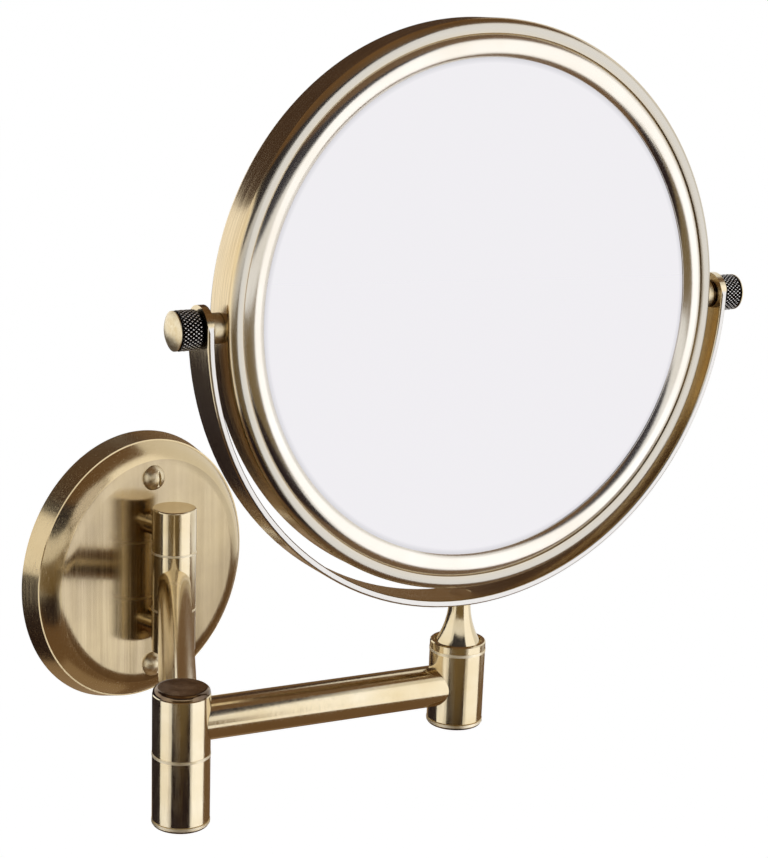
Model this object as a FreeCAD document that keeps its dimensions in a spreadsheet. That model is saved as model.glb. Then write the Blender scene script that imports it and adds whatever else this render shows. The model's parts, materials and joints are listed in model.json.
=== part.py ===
import FreeCAD, Part
import math
import os
import Sketcher

# Wall-mounted swing-arm mirror with a glass on both sides.
# Origin: centre of the rosette's back face, on the wall. +X right, +Z up, the mirror stands towards -Y.
# The arms and the head are modelled as they stand in use, turned by the angles in the sheet.

doc = FreeCAD.newDocument("wall_mirror")
sheet = doc.addObject("Spreadsheet::Sheet", "Sizes")

# Driving dimensions in millimetres and degrees
DIMENSIONS = [
    ("rosette_diameter", 113),
    ("rosette_rim_depth", 7.6),
    ("rosette_rim_taper", 2.2),
    ("rosette_ledge", 0.6),
    ("rosette_depth", 13.7),
    ("rosette_step_width", 10.5),
    ("rosette_wall", 3),
    ("rosette_face_round", 2.4),
    ("rosette_face_drop", 0.85),
    ("shoulder_radius", 27),
    ("screw_edge_inset", 6),
    ("screw_pillar_diameter", 13),
    ("screw_pillar_setback", 0.6),
    ("screw_shank_diameter", 4.8),
    ("screw_thread_diameter", 4.4),
    ("screw_hole_diameter", 5.4),
    ("screw_head_diameter", 10.4),
    ("screw_head_height", 4.2),
    ("screw_in_wall", 30),
    ("screw_tip_length", 6),
    ("screw_slot_width", 1.2),
    ("screw_slot_depth", 1.2),
    ("post_standoff", 26.4),
    ("knuckle_diameter", 18),
    ("post_end_height", 17.8),
    ("post_middle_height", 23.2),
    ("washer_thickness", 0.9),
    ("washer_overhang", 0.1),
    ("edge_round", 0.7),
    ("pin_diameter", 6),
    ("pin_recess", 1.5),
    ("pin_roof", 4),
    ("running_clearance", 0.05),
    ("seat_clearance", 0.03),
    ("stub_diameter", 10),
    ("stub_spigot_diameter", 7),
    ("stub_spigot_reach", 4),
    ("stub_screw_diameter", 4),
    ("stub_screw_length", 9),
    ("stub_screw_head_diameter", 11),
    ("stub_screw_head_height", 2.5),
    ("tube_diameter", 13.4),
    ("tube_wall", 1.5),
    ("tube_spigot_length", 10),
    ("inner_arm_length", 205),
    ("inner_arm_angle", -130.9),
    ("outer_arm_length", 95),
    ("outer_arm_angle", -21),
    ("elbow_lower_height", 21.2),
    ("elbow_upper_height", 19.4),
    ("top_cap_height", 1.7),
    ("bottom_cap_height", 0.9),
    ("cap_inset", 0.15),
    ("cap_edge", 0.2),
    ("cap_plug_diameter", 11),
    ("cap_plug_depth", 1.5),
    ("nut_across_corners", 10),
    ("nut_height", 2.4),
    ("nut_pocket_clearance", 0.4),
    ("socket_height", 23.2),
    ("collar_height", 2.6),
    ("collar_wall", 1.3),
    ("collar_dish", 1.5),
    ("stem_foot_diameter", 14.8),
    ("stem_neck_diameter", 7),
    ("stem_shank_diameter", 8),
    ("stem_height", 13.6),
    ("stem_curve_radius", 27),
    ("band_screw_diameter", 4),
    ("band_screw_length", 9),
    ("band_screw_head_diameter", 7.2),
    ("band_thickness", 2.2),
    ("band_width", 14),
    ("band_edge_round", 0.7),
    ("head_angle", -17),
    ("mirror_tilt", 1.8),
    ("frame_diameter", 174.6),
    ("frame_wall_width", 10),
    ("frame_corner_round", 2.5),
    ("frame_bead_width", 1.8),
    ("frame_bead_drop", 0.3),
    ("bezel_rise", 0.7),
    ("bezel_outer_width", 3.5),
    ("bezel_outer_drop", 1.7),
    ("bezel_inner_drop", 1.6),
    ("bezel_lip_thickness", 0.35),
    ("bezel_width", 6.97),
    ("glass_lip", 3.6),
    ("plain_glass_thickness", 3),
    ("magnifier_thickness", 2.5),
    ("magnifier_dish", 4.2),
    ("glass_edge_clearance", 0.3),
    ("boss_diameter", 9),
    ("boss_length", 3.6),
    ("boss_spigot_diameter", 7),
    ("boss_round", 0.6),
    ("pivot_washer_thickness", 0.4),
    ("pivot_stud_diameter", 5),
    ("knob_diameter", 11.8),
    ("knob_grip_length", 7.2),
    ("knob_chamfer", 0.4),
    ("knob_gap", 0.3),
    ("knob_cap_height", 2.1),
    ("knob_cap_edge", 0.3),
    ("knob_cap_inset", 0.1),
    ("knob_stud_cover", 1.2),
]

for row, (alias, number) in enumerate(DIMENSIONS, start=1):
    sheet.set("A%d" % row, alias.replace("_", " "))
    sheet.set("B%d" % row, str(number))
    sheet.setAlias("B%d" % row, alias)
doc.recompute()


# A size knows its value now and the formula that ties it to the sheet
class Size:
    def __init__(self, value, formula):
        self.value = float(value)
        self.formula = formula

    def __add__(self, other):
        other = as_size(other)
        return Size(self.value + other.value, "(%s + %s)" % (self.formula, other.formula))

    def __sub__(self, other):
        other = as_size(other)
        return Size(self.value - other.value, "(%s - %s)" % (self.formula, other.formula))

    def __mul__(self, other):
        other = as_size(other)
        return Size(self.value * other.value, "(%s * %s)" % (self.formula, other.formula))

    def __truediv__(self, other):
        other = as_size(other)
        return Size(self.value / other.value, "(%s / %s)" % (self.formula, other.formula))

    def __neg__(self):
        return Size(-self.value, "(0 - %s)" % self.formula)


def as_size(number):
    if isinstance(number, Size):
        return number
    return Size(number, repr(number))


def size(alias):
    return Size(sheet.get(alias), "Sizes." + alias)


def cosine(angle):
    return Size(math.cos(math.radians(angle.value)), "cos(%s)" % angle.formula)


def sine(angle):
    return Size(math.sin(math.radians(angle.value)), "sin(%s)" % angle.formula)


ZERO = as_size(0)
QUARTER_TURN = as_size(90)
HALF_TURN = as_size(180)


# Radius of an arc that starts level at its crown, runs this wide and drops this far
def crown_radius(width, drop):
    return (width * width + drop * drop) / (drop * 2)


# Document helpers: bodies, sketches and placed pieces
def new_body(label):
    body = doc.addObject("PartDesign::Body", label)
    body.Label = label
    return body


def new_sketch(body, role):
    plane = [item for item in body.Origin.OriginFeatures if item.Role == role][0]
    sketch = body.newObject("Sketcher::SketchObject", body.Label + "_sketch")
    sketch.AttachmentSupport = [(plane, "")]
    sketch.MapMode = "FlatFace"
    return sketch


def bind_constraint(sketch, constraint, formula):
    index = sketch.addConstraint(constraint)
    sketch.setExpression("Constraints[%d]" % index, formula)


def fix_point(sketch, geometry, position, x, y):
    for kind, place in (("DistanceX", x), ("DistanceY", y)):
        constraint = Sketcher.Constraint(kind, -1, 1, geometry, position, place.value)
        bind_constraint(sketch, constraint, place.formula)


def arc_between(start, end, radius, turns_left):
    chord = end - start
    middle = (start + end) * 0.5
    rise = math.sqrt(max(radius * radius - chord.Length * chord.Length / 4, 0))
    left = FreeCAD.Vector(-chord.y, chord.x, 0).normalize()
    centre = middle + left * (rise if turns_left else -rise)
    circle = Part.Circle(centre, FreeCAD.Vector(0, 0, 1), radius)
    first, last = (start, end) if turns_left else (end, start)
    return Part.ArcOfCircle(circle, circle.parameter(first), circle.parameter(last))


# A closed outline. A corner is (x, y), or (x, y, radius, side) where an arc leaves it for the next corner,
# with its centre on the left or right of the way round.
def outline(sketch, corners):
    base = sketch.GeometryCount
    points = [FreeCAD.Vector(corner[0].value, corner[1].value, 0) for corner in corners]
    ends = []
    for index, corner in enumerate(corners):
        start = points[index]
        finish = points[(index + 1) % len(corners)]
        if len(corner) == 2:
            sketch.addGeometry(Part.LineSegment(start, finish), False)
            ends.append((1, 2))
        else:
            turns_left = corner[3] == "left"
            sketch.addGeometry(arc_between(start, finish, corner[2].value, turns_left), False)
            ends.append((1, 2) if turns_left else (2, 1))
    for index, corner in enumerate(corners):
        following = (index + 1) % len(corners)
        leaving = (base + index, ends[index][1])
        arriving = (base + following, ends[following][0])
        sketch.addConstraint(Sketcher.Constraint("Coincident", *leaving, *arriving))
        fix_point(sketch, base + index, ends[index][0], corner[0], corner[1])
        if len(corner) == 4:
            radius = Sketcher.Constraint("Radius", base + index, corner[2].value)
            bind_constraint(sketch, radius, corner[2].formula)


def circle_at(sketch, x, y, radius):
    shape = Part.Circle(FreeCAD.Vector(x.value, y.value, 0), FreeCAD.Vector(0, 0, 1), radius.value)
    geometry = sketch.addGeometry(shape, False)
    fix_point(sketch, geometry, 3, x, y)
    bind_constraint(sketch, Sketcher.Constraint("Radius", geometry, radius.value), radius.formula)


def turn(body, corners, feature="PartDesign::Revolution"):
    sketch = new_sketch(body, "XZ_Plane")
    outline(sketch, corners)
    doc.recompute()
    revolution = body.newObject(feature, body.Label + "_turn")
    revolution.Profile = sketch
    revolution.ReferenceAxis = (sketch, ["V_Axis"])
    revolution.Angle = 360
    doc.recompute()


def turned(label, corners):
    body = new_body(label)
    turn(body, corners)
    return body


def pad(body, sketch, length):
    doc.recompute()
    feature = body.newObject("PartDesign::Pad", body.Label + "_pad")
    feature.Profile = sketch
    feature.setExpression("Length", length.formula)
    doc.recompute()


# Cut a sketch right through the body, on both sides of its plane
def cut_through(body, sketch):
    doc.recompute()
    before = body.Shape.Volume
    feature = body.newObject("PartDesign::Pocket", body.Label + "_cut")
    feature.Profile = sketch
    feature.Type = "ThroughAll"
    feature.SideType = "Symmetric"
    doc.recompute()
    if not body.Shape.Volume < before:
        raise RuntimeError(body.Label + " was not cut")


def drill(body, role, holes):
    sketch = new_sketch(body, role)
    for x, y, diameter in holes:
        circle_at(sketch, x, y, diameter / 2)
    cut_through(body, sketch)


nodes = []


# Put a piece at its place, turned by yaw about Z, then pitch about Y, then roll about X
def place(piece, x, y, z, yaw=ZERO, pitch=ZERO, roll=ZERO):
    spot = "create(<<vector>>; %s; %s; %s)" % (x.formula, y.formula, z.formula)
    turned_by = "create(<<rotation>>; %s; %s; %s)" % (yaw.formula, pitch.formula, roll.formula)
    piece.setExpression("Placement", "create(<<placement>>; %s; %s)" % (spot, turned_by))
    return piece


def keep(piece):
    nodes.append(piece)


def keep_group(label, pieces):
    group = doc.addObject("Part::Compound", label)
    group.Label = label
    group.Links = pieces
    keep(group)


# Values that several pieces share
knuckle_radius = size("knuckle_diameter") / 2
pin_radius = size("pin_diameter") / 2
pin_bore_radius = pin_radius + size("running_clearance")
pin_seat_radius = pin_radius + size("seat_clearance")
washer_radius = knuckle_radius + size("washer_overhang")
washer = size("washer_thickness")
edge = size("edge_round")
tube_inner_radius = size("tube_diameter") / 2 - size("tube_wall")
standoff = size("post_standoff")

# The rosette's flat face, and the wall screws that stand in from its edge
face_radius = size("rosette_diameter") / 2 - size("rosette_step_width")
screw_offset = face_radius - size("screw_edge_inset")

# The upper post knuckle starts above the middle knuckle and its washer
post_joint = size("post_middle_height") / 2 + washer
post_top = post_joint + size("post_end_height")
stub_level = post_joint + size("post_end_height") / 2

# The elbow stacks the outer arm's knuckle on the inner arm's, with a washer between
lower_half = size("elbow_lower_height") / 2
upper_half = size("elbow_upper_height") / 2
outer_arm_level = lower_half + washer + upper_half

# Plan positions of the three upright axes
elbow_x = size("inner_arm_length") * cosine(size("inner_arm_angle"))
elbow_y = size("inner_arm_length") * sine(size("inner_arm_angle")) - standoff
end_x = elbow_x + size("outer_arm_length") * cosine(size("outer_arm_angle"))
end_y = elbow_y + size("outer_arm_length") * sine(size("outer_arm_angle"))

# Heights above the end socket, up to the pivot axis of the mirror head
socket_half = size("socket_height") / 2
collar_bottom = outer_arm_level + socket_half + washer
stem_bottom = collar_bottom + size("collar_height") - size("collar_dish")
band_bottom = collar_bottom + size("collar_height") + size("stem_height")
frame_radius = size("frame_diameter") / 2
boss_end = frame_radius + size("seat_clearance") + size("boss_length")
band_inner_radius = boss_end + size("pivot_washer_thickness") + size("knob_gap")
band_outer_radius = band_inner_radius + size("band_thickness")
pivot_level = band_bottom + band_outer_radius

# Depths in the mirror head, from its middle plane forward
frame_crest = size("frame_wall_width") / 2 + size("frame_corner_round")
frame_bore = frame_radius - size("frame_corner_round") - size("frame_bead_width")
bezel_crest = frame_crest + size("bezel_rise")
bezel_outer = frame_bore - size("seat_clearance")
sight_radius = bezel_outer - size("bezel_width")
glass_radius = sight_radius + size("glass_lip")
glass_front = bezel_crest - size("bezel_inner_drop") - size("bezel_lip_thickness")
glass_back = glass_front - size("plain_glass_thickness")


# Rosette: a hollow turned wall flange, with a ledge between its rim and its rounded shoulder,
# and two pillars behind its face for the wall screws
def make_rosette():
    radius = size("rosette_diameter") / 2
    rim = size("rosette_rim_depth")
    rim_radius = radius - size("rosette_rim_taper")
    depth = size("rosette_depth")
    wall = size("rosette_wall")
    soft = size("rosette_face_round")
    drop = size("rosette_face_drop")
    body = turned("rosette", [
        (radius - wall, ZERO),
        (radius, ZERO),
        (rim_radius, rim),
        (rim_radius - size("rosette_ledge"), rim, size("shoulder_radius"), "left"),
        (face_radius + soft, depth - drop, crown_radius(soft, drop), "left"),
        (face_radius, depth),
        (ZERO, depth),
        (ZERO, depth - wall),
        (face_radius, depth - wall),
        (rim_radius - wall, rim - wall),
    ])
    # The pillars stop short of the wall, so that only the rim bears on it
    pillars = new_sketch(body, "XY_Plane")
    pillars.setExpression("AttachmentOffset.Base.z", size("screw_pillar_setback").formula)
    for side in (1, -1):
        circle_at(pillars, ZERO, screw_offset * side, size("screw_pillar_diameter") / 2)
    pad(body, pillars, depth - wall / 2 - size("screw_pillar_setback"))
    holes = []
    for side in (1, -1):
        holes.append((ZERO, screw_offset * side, size("screw_hole_diameter")))
        stub_hole = size("stub_spigot_diameter") + size("seat_clearance") * 2
        holes.append((ZERO, stub_level * side, stub_hole))
    drill(body, "XY_Plane", holes)
    keep(place(body, ZERO, ZERO, ZERO, roll=QUARTER_TURN))


# Wall screws: slotted round heads on the rosette's face, plain shanks in the pillars, threads in the wall
def make_wall_screws():
    seat = size("rosette_depth")
    head = size("screw_head_diameter") / 2
    height = size("screw_head_height")
    shank = size("screw_shank_diameter") / 2
    thread = size("screw_thread_diameter") / 2
    thread_start = size("screw_pillar_setback") / 2
    screws = []
    for side in (1, -1):
        body = turned("wall_screw", [
            (ZERO, -size("screw_in_wall")),
            (thread, size("screw_tip_length") - size("screw_in_wall")),
            (thread, thread_start),
            (shank, thread_start),
            (shank, seat),
            (head, seat, crown_radius(head, height), "left"),
            (ZERO, seat + height),
        ])
        slot = new_sketch(body, "XZ_Plane")
        half = size("screw_slot_width") / 2
        floor = seat + height - size("screw_slot_depth")
        outline(slot, [
            (-half, floor),
            (half, floor),
            (half, seat + height * 2),
            (-half, seat + height * 2),
        ])
        cut_through(body, slot)
        screws.append(place(body, ZERO, ZERO, screw_offset * side, roll=QUARTER_TURN))
    keep_group("wall_screws", screws)


# Stubs: short round bars that carry the fixed post knuckles on the rosette
def make_stub(label, level):
    face = size("rosette_depth")
    spigot = size("stub_spigot_diameter") / 2
    body = turned(label, [
        (ZERO, face - size("rosette_wall") + size("seat_clearance")),
        (spigot, face - size("rosette_wall") + size("seat_clearance")),
        (spigot, face),
        (size("stub_diameter") / 2, face),
        (size("stub_diameter") / 2, standoff),
        (ZERO, standoff),
    ])
    saddle = new_sketch(body, "XZ_Plane")
    circle_at(saddle, ZERO, standoff, knuckle_radius + size("seat_clearance"))
    cut_through(body, saddle)
    reach = new_sketch(body, "XY_Plane")
    reach.setExpression("AttachmentOffset.Base.z", face.formula)
    circle_at(reach, ZERO, ZERO, spigot)
    pad(body, reach, standoff - knuckle_radius + size("stub_spigot_reach") - face)
    drill(body, "XY_Plane", [(ZERO, ZERO, size("stub_screw_diameter") + size("seat_clearance") * 2)])
    keep(place(body, ZERO, ZERO, level, roll=QUARTER_TURN))


def make_stub_screws():
    seat = size("rosette_depth") - size("rosette_wall")
    shank = size("stub_screw_diameter") / 2
    screws = []
    for side in (1, -1):
        body = turned("stub_screw", [
            (ZERO, seat - size("stub_screw_head_height")),
            (size("stub_screw_head_diameter") / 2, seat - size("stub_screw_head_height")),
            (size("stub_screw_head_diameter") / 2, seat),
            (shank, seat),
            (shank, seat + size("stub_screw_length")),
            (ZERO, seat + size("stub_screw_length")),
        ])
        screws.append(place(body, ZERO, ZERO, stub_level * side, roll=QUARTER_TURN))
    keep_group("stub_screws", screws)


# Fixed post knuckles: the upper one is closed over the pin, the lower one is bored through
def make_post_knuckle(label, direction):
    low = post_joint
    high = post_top
    corners = [
        (pin_seat_radius, low),
        (knuckle_radius, low),
        (knuckle_radius, high - edge, edge, "left"),
        (knuckle_radius - edge, high),
    ]
    if direction > 0:
        corners += [
            (ZERO, high),
            (ZERO, high - size("pin_roof")),
            (pin_seat_radius, high - size("pin_roof")),
        ]
    else:
        corners += [(pin_seat_radius, high)]
    body = turned(label, corners)
    hole = new_sketch(body, "XZ_Plane")
    circle_at(hole, ZERO, stub_level, size("stub_spigot_diameter") / 2 + size("seat_clearance"))
    doc.recompute()
    bore = body.newObject("PartDesign::Pocket", label + "_stub_hole")
    bore.Profile = hole
    bore.Type = "ThroughAll"
    # The lower knuckle is the same turned piece upside down, so its hole faces the other way
    bore.Reversed = direction < 0
    doc.recompute()
    roll = ZERO if direction > 0 else HALF_TURN
    keep(place(body, ZERO, -standoff, ZERO, roll=roll))


def make_wall_pin():
    body = turned("wall_pin", [
        (ZERO, size("pin_recess") - post_top),
        (pin_radius, size("pin_recess") - post_top),
        (pin_radius, post_top - size("pin_roof") - size("seat_clearance")),
        (ZERO, post_top - size("pin_roof") - size("seat_clearance")),
    ])
    keep(place(body, ZERO, -standoff, ZERO))


# A flat washer round a pin, its underside at this height
def make_washer(label, bottom):
    return turned(label, [
        (pin_bore_radius, bottom),
        (washer_radius, bottom),
        (washer_radius, bottom + washer),
        (pin_bore_radius, bottom + washer),
    ])


def make_wall_washers():
    washers = []
    for bottom in (post_joint - washer, -post_joint):
        body = make_washer("wall_washer", bottom)
        washers.append(place(body, ZERO, -standoff, ZERO))
    keep_group("wall_washers", washers)


# The spigot that a tube slides over, along the body's own +X from inside the knuckle's wall
def add_spigot(body):
    sketch = new_sketch(body, "YZ_Plane")
    start = (pin_bore_radius + knuckle_radius) / 2
    sketch.setExpression("AttachmentOffset.Base.z", start.formula)
    circle_at(sketch, ZERO, ZERO, tube_inner_radius - size("seat_clearance"))
    pad(body, sketch, knuckle_radius + size("tube_spigot_length") - start)


# A tube between two upright axes, its ends shaped to the knuckles
def make_tube(label, length):
    body = new_body(label)
    ring = new_sketch(body, "YZ_Plane")
    circle_at(ring, ZERO, ZERO, size("tube_diameter") / 2)
    circle_at(ring, ZERO, ZERO, tube_inner_radius)
    pad(body, ring, length)
    coped = knuckle_radius * 2 + size("seat_clearance") * 2
    drill(body, "XY_Plane", [(ZERO, ZERO, coped), (length, ZERO, coped)])
    return body


def make_inner_arm():
    angle = size("inner_arm_angle")
    middle = size("post_middle_height") / 2
    knuckle = turned("inner_arm_knuckle", [
        (pin_bore_radius, -middle),
        (knuckle_radius, -middle),
        (knuckle_radius, middle),
        (pin_bore_radius, middle),
    ])
    add_spigot(knuckle)
    keep(place(knuckle, ZERO, -standoff, ZERO, angle))
    tube = make_tube("inner_arm_tube", size("inner_arm_length"))
    keep(place(tube, ZERO, -standoff, ZERO, angle))


# Both elbow knuckles and the end socket have a nut pocket at their outer end, closed by a cap
nut_pocket_radius = size("nut_across_corners") / 2 + size("nut_pocket_clearance")
cap_pocket_radius = size("cap_plug_diameter") / 2 + size("seat_clearance")
nut_pocket_depth = size("cap_plug_depth") + size("nut_height") + size("seat_clearance")


def pocketed_barrel(label, half, bore):
    body = turned(label, [
        (bore, -half),
        (knuckle_radius, -half),
        (knuckle_radius, half - edge / 2),
        (knuckle_radius - edge / 2, half),
        (cap_pocket_radius, half),
        (cap_pocket_radius, half - size("cap_plug_depth")),
        (nut_pocket_radius, half - size("cap_plug_depth")),
        (nut_pocket_radius, half - nut_pocket_depth),
        (bore, half - nut_pocket_depth),
    ])
    add_spigot(body)
    return body


# A domed cap on a barrel or on the ring under it, with a plug that fills the mouth of the nut pocket
def make_cap(label, mouth, seat, height):
    rim = knuckle_radius - size("cap_inset")
    rise = height - size("cap_edge")
    plug = size("cap_plug_diameter") / 2
    plug_end = mouth - size("cap_plug_depth") + size("seat_clearance")
    return turned(label, [
        (ZERO, plug_end),
        (plug, plug_end),
        (plug, seat),
        (rim, seat),
        (rim, seat + size("cap_edge"), rise, "left"),
        (rim - rise, seat + height),
        (ZERO, seat + height),
    ])


# A flat ring round a cap's plug, between a barrel's lower end and its cap
def make_cap_ring(label, seat):
    return turned(label, [
        (cap_pocket_radius, seat),
        (washer_radius, seat),
        (washer_radius, seat + washer),
        (cap_pocket_radius, seat + washer),
    ])


def make_nut(label, bottom):
    body = new_body(label)
    sketch = new_sketch(body, "XY_Plane")
    sketch.setExpression("AttachmentOffset.Base.z", bottom.formula)
    reach = size("nut_across_corners") / 2
    corners = []
    for step in range(6):
        corner_angle = HALF_TURN / 3 * step
        corners.append((reach * cosine(corner_angle), reach * sine(corner_angle)))
    outline(sketch, corners)
    circle_at(sketch, ZERO, ZERO, pin_seat_radius)
    pad(body, sketch, size("nut_height"))
    return body


# Elbow: lower knuckle and pin on the inner arm, upper knuckle on the outer arm
def make_elbow():
    inner = size("inner_arm_angle")
    lower = pocketed_barrel("elbow_lower_knuckle", lower_half, pin_seat_radius)
    # The pocket faces down, so the barrel is rolled over, and its spigot points back to the wall
    keep(place(lower, elbow_x, elbow_y, ZERO, inner + HALF_TURN, roll=HALF_TURN))
    head_top = lower_half - size("cap_plug_depth") - size("seat_clearance")
    pin_top = outer_arm_level + upper_half - size("cap_plug_depth") - size("seat_clearance")
    pin = turned("elbow_pin", [
        (ZERO, -head_top),
        (nut_pocket_radius - size("nut_pocket_clearance"), -head_top),
        (nut_pocket_radius - size("nut_pocket_clearance"), size("nut_height") - head_top),
        (pin_radius, size("nut_height") - head_top),
        (pin_radius, pin_top),
        (ZERO, pin_top),
    ])
    keep(place(pin, elbow_x, elbow_y, ZERO))
    nut = make_nut("elbow_nut", pin_top - size("nut_height") + size("seat_clearance") / 2)
    keep(place(nut, elbow_x, elbow_y, ZERO, inner))
    ring = make_washer("elbow_washer", lower_half)
    keep(place(ring, elbow_x, elbow_y, ZERO))
    bottom_ring = make_cap_ring("elbow_bottom_ring", lower_half)
    keep(place(bottom_ring, elbow_x, elbow_y, ZERO, roll=HALF_TURN))
    bottom_cap = make_cap("elbow_bottom_cap", lower_half, lower_half + washer, size("bottom_cap_height"))
    keep(place(bottom_cap, elbow_x, elbow_y, ZERO, roll=HALF_TURN))
    upper = pocketed_barrel("elbow_upper_knuckle", upper_half, pin_bore_radius)
    keep(place(upper, elbow_x, elbow_y, outer_arm_level, size("outer_arm_angle")))
    top_cap = make_cap("elbow_top_cap", upper_half, upper_half, size("top_cap_height"))
    keep(place(top_cap, elbow_x, elbow_y, outer_arm_level))


def make_outer_arm():
    angle = size("outer_arm_angle")
    tube = make_tube("outer_arm_tube", size("outer_arm_length"))
    keep(place(tube, elbow_x, elbow_y, outer_arm_level, angle))
    socket = pocketed_barrel("end_socket", socket_half, pin_bore_radius)
    keep(place(socket, end_x, end_y, outer_arm_level, angle + HALF_TURN, roll=HALF_TURN))
    bottom_ring = make_cap_ring("end_bottom_ring", socket_half)
    keep(place(bottom_ring, end_x, end_y, outer_arm_level, roll=HALF_TURN))
    cap = make_cap("end_bottom_cap", socket_half, socket_half + washer, size("bottom_cap_height"))
    keep(place(cap, end_x, end_y, outer_arm_level, roll=HALF_TURN))
    ring = make_washer("swivel_washer", collar_bottom - washer)
    keep(place(ring, end_x, end_y, ZERO))


# Swivel: a dished collar and a bell-shaped stem whose spindle runs in the end socket
def make_swivel():
    shank = size("stem_shank_diameter") / 2
    foot = size("stem_foot_diameter") / 2
    neck = size("stem_neck_diameter") / 2
    collar_top = collar_bottom + size("collar_height")
    dish_radius = knuckle_radius - size("collar_wall")
    shank_hole = shank + size("seat_clearance")
    collar = turned("swivel_collar", [
        (shank_hole, collar_bottom),
        (knuckle_radius, collar_bottom),
        (knuckle_radius, collar_top - edge / 2),
        (knuckle_radius - edge / 2, collar_top),
        (dish_radius, collar_top),
        (dish_radius, stem_bottom),
        (shank_hole, stem_bottom),
    ])
    keep(place(collar, end_x, end_y, ZERO))
    spindle_end = outer_arm_level - socket_half + size("cap_plug_depth") + size("seat_clearance")
    screw_bore = size("band_screw_diameter") / 2 + size("seat_clearance")
    screw_end = band_bottom + size("band_thickness") - size("band_screw_length") - size("seat_clearance")
    stem = turned("bell_stem", [
        (ZERO, spindle_end),
        (pin_radius, spindle_end),
        (pin_radius, collar_bottom),
        (shank, collar_bottom),
        (shank, stem_bottom),
        (foot, stem_bottom),
        (foot, stem_bottom + edge, size("stem_curve_radius"), "right"),
        (neck, band_bottom),
        (screw_bore, band_bottom),
        (screw_bore, screw_end),
        (ZERO, screw_end),
    ])
    keep(place(stem, end_x, end_y, ZERO))
    nut = make_nut("spindle_nut", spindle_end - size("seat_clearance") / 2)
    keep(place(nut, end_x, end_y, ZERO, size("head_angle")))


# Yoke: a flat strip bent into a half circle, with rounded eyes at its two ends
def make_yoke_band():
    half_width = size("band_width") / 2
    soft = size("band_edge_round")

    def strip_section(sketch, side):
        near = band_inner_radius * side
        far = band_outer_radius * side
        step = soft * side
        bend = "left" if side > 0 else "right"
        outline(sketch, [
            (near + step, -half_width),
            (far - step, -half_width, soft, bend),
            (far, soft - half_width),
            (far, half_width - soft, soft, bend),
            (far - step, half_width),
            (near + step, half_width, soft, bend),
            (near, half_width - soft),
            (near, soft - half_width, soft, bend),
        ])

    body = new_body("yoke_band")
    section = new_sketch(body, "XY_Plane")
    strip_section(section, 1)
    doc.recompute()
    bow = body.newObject("PartDesign::Revolution", "yoke_bow")
    bow.Profile = section
    bow.ReferenceAxis = (section, ["V_Axis"])
    bow.Angle = 180
    doc.recompute()
    if body.Shape.BoundBox.ZMax > 1:
        bow.Reversed = True
        doc.recompute()
    ends = new_sketch(body, "XY_Plane")
    for side in (1, -1):
        strip_section(ends, side)
    pad(body, ends, half_width)
    # Round each end to a half circle about the pivot
    corners = new_sketch(body, "YZ_Plane")
    margin = size("band_thickness")
    outline(corners, [
        (half_width, ZERO),
        (half_width + margin, ZERO),
        (half_width + margin, half_width + margin),
        (-half_width - margin, half_width + margin),
        (-half_width - margin, ZERO),
        (-half_width, ZERO, half_width, "right"),
        (ZERO, half_width, half_width, "right"),
    ])
    cut_through(body, corners)
    stud_hole = size("pivot_stud_diameter") + size("running_clearance") * 4
    drill(body, "YZ_Plane", [(ZERO, ZERO, stud_hole)])
    # Countersunk hole for the screw that holds the strip to the stem
    head = size("band_screw_head_diameter") / 2 + size("seat_clearance")
    shank = size("band_screw_diameter") / 2 + size("seat_clearance") * 2
    inside = -band_inner_radius
    turn(body, [
        (ZERO, inside + margin),
        (head, inside + margin),
        (head, inside),
        (shank, inside - head + shank),
        (shank, inside - margin * 2),
        (ZERO, inside - margin * 2),
    ], feature="PartDesign::Groove")
    keep(place(body, end_x, end_y, pivot_level, size("head_angle")))


def make_band_screw():
    head = size("band_screw_head_diameter") / 2
    shank = size("band_screw_diameter") / 2
    top = band_bottom + size("band_thickness")
    screw = turned("band_screw", [
        (ZERO, top - size("band_screw_length")),
        (shank, top - size("band_screw_length")),
        (shank, top - head + shank),
        (head, top),
        (ZERO, top),
    ])
    keep(place(screw, end_x, end_y, ZERO))


# Mirror head: a turned frame ring, a glass and a bezel on each side, and a dished core between the glasses
def place_in_head(piece, turn_over=False):
    yaw = size("head_angle")
    roll = QUARTER_TURN - size("mirror_tilt")
    if turn_over:
        yaw = yaw + HALF_TURN
        roll = QUARTER_TURN + size("mirror_tilt")
    return place(piece, end_x, end_y, pivot_level, yaw, roll=roll)


def make_frame_ring():
    wall_half = size("frame_wall_width") / 2
    corner = size("frame_corner_round")
    bead = crown_radius(size("frame_bead_width"), size("frame_bead_drop"))
    mouth = frame_crest - size("frame_bead_drop")
    body = turned("frame_ring", [
        (frame_radius, -wall_half),
        (frame_radius, wall_half, corner, "left"),
        (frame_radius - corner, frame_crest, bead, "left"),
        (frame_bore, mouth),
        (frame_bore, -mouth, bead, "left"),
        (frame_radius - corner, -frame_crest, corner, "left"),
    ])
    boss_hole = size("boss_spigot_diameter") + size("seat_clearance") * 2
    drill(body, "YZ_Plane", [(ZERO, ZERO, boss_hole)])
    # The ring is drawn about its own Z, and the hole runs along X, the pivot axis
    keep(place_in_head(body))


# A bezel is a half-round bead: its crest stands between a fall to the frame and a fall to the glass
def make_bezel(label, turn_over):
    outer_width = size("bezel_outer_width")
    outer_drop = size("bezel_outer_drop")
    inner_width = bezel_outer - outer_width - sight_radius
    inner_drop = size("bezel_inner_drop")
    skirt = glass_radius + size("glass_edge_clearance")
    body = turned(label, [
        (skirt, glass_back),
        (bezel_outer, glass_back),
        (bezel_outer, bezel_crest - outer_drop, crown_radius(outer_width, outer_drop), "left"),
        (bezel_outer - outer_width, bezel_crest, crown_radius(inner_width, inner_drop), "left"),
        (sight_radius, glass_front + size("bezel_lip_thickness")),
        (sight_radius, glass_front),
        (skirt, glass_front),
    ])
    keep(place_in_head(body, turn_over))


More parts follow.
